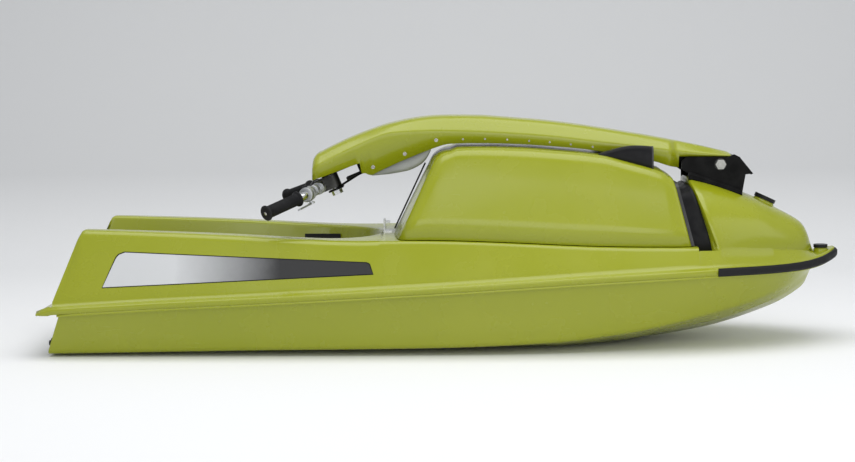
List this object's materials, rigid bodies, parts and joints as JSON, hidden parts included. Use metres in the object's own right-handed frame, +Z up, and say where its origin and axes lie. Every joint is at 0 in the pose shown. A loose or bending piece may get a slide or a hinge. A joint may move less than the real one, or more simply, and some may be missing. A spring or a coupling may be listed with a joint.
{
  "type": "stand-up personal watercraft",
  "caption": "Stand-up personal watercraft: moulded hull, deck and hood, lift-up handle pole with steering handlebar, and a jet pump with a swivelling nozzle",
  "frame": {"origin": "bottom centre of the craft, midway along its length, on the floor it stands on", "axes": "+X points to the bow, +Y to port, +Z up"},
  "size_m": [2.085, 0.615, 0.6049],
  "materials": {
    "gelcoat": "lime green gelcoat over glass fibre, gloss",
    "black_rubber": "moulded black rubber, satin",
    "black_plastic": "moulded black plastic, fine grain",
    "grey_trim": "light grey moulding, matt",
    "black_steel": "black enamel on folded steel",
    "stainless": "stainless steel, brushed",
    "chrome_tube": "bright plated steel tube",
    "cast_alloy": "sand-cast aluminium alloy"
  },
  "bodies": {
    "craft": {"hull": "gelcoat", "deck": "gelcoat", "bow_bumper": "black_rubber", "engine_hood": "gelcoat", "hood_seal": "grey_trim", "hood_scoop_right": "black_plastic", "hood_scoop_left": "black_plastic", "hood_strap": "black_rubber", "strap_catch": "stainless", "tray_mat": "black_rubber", "label_plate": "black_plastic", "engine_block": "cast_alloy", "fuel_cap": "black_plastic", "bow_button": "black_plastic", "pole_bracket": "black_steel", "pivot_bolt": "stainless", "pump_tunnel": "gelcoat", "ride_plate": "cast_alloy", "intake_grate": "cast_alloy", "pump_housing": "cast_alloy", "pump_outlet": "cast_alloy", "exhaust_outlet": "black_rubber", "drain_plugs": "black_plastic"},
    "impeller_shaft": {"impeller": "stainless", "drive_shaft": "stainless"},
    "nozzle": {"steering_nozzle": "cast_alloy", "nozzle_arm": "cast_alloy"},
    "pole": {"handle_pole": "gelcoat", "pole_pan": "grey_trim", "pole_yoke": "black_steel", "steering_mount": "black_steel", "steering_stem": "stainless", "control_cables": "black_plastic"},
    "handlebar": {"handlebar_tube": "chrome_tube", "bar_clamp": "cast_alloy", "grip_right": "black_rubber", "grip_left": "black_rubber", "throttle_housing": "black_plastic", "throttle_lever": "cast_alloy", "stop_switch": "black_plastic"}
  },
  "joints": [
    {"name": "pole_pivot", "type": "hinge", "parent": "craft", "child": "pole", "pos_m": [0.72, 0, 0.471], "axis": [0, 1, 0], "range_deg": [0, 60]},
    {"name": "handlebar_steer", "type": "hinge", "parent": "pole", "child": "handlebar", "pos_m": [-0.3, 0, 0.43], "axis": [-0.3746, 0, 0.9272], "range_deg": [-30, 30]},
    {"name": "nozzle_steer", "type": "hinge", "parent": "craft", "child": "nozzle", "pos_m": [-0.95, 0, 0.062], "axis": [0, 0, 1], "range_deg": [-18, 18]},
    {"name": "impeller_spin", "type": "hinge", "parent": "craft", "child": "impeller_shaft", "pos_m": [-0.8, 0, 0.062], "axis": [1, 0, 0], "continuous": true}
  ],
  "couplings": [
    {"joint": "nozzle_steer", "follows": "handlebar_steer", "ratio": -0.6}
  ]
}
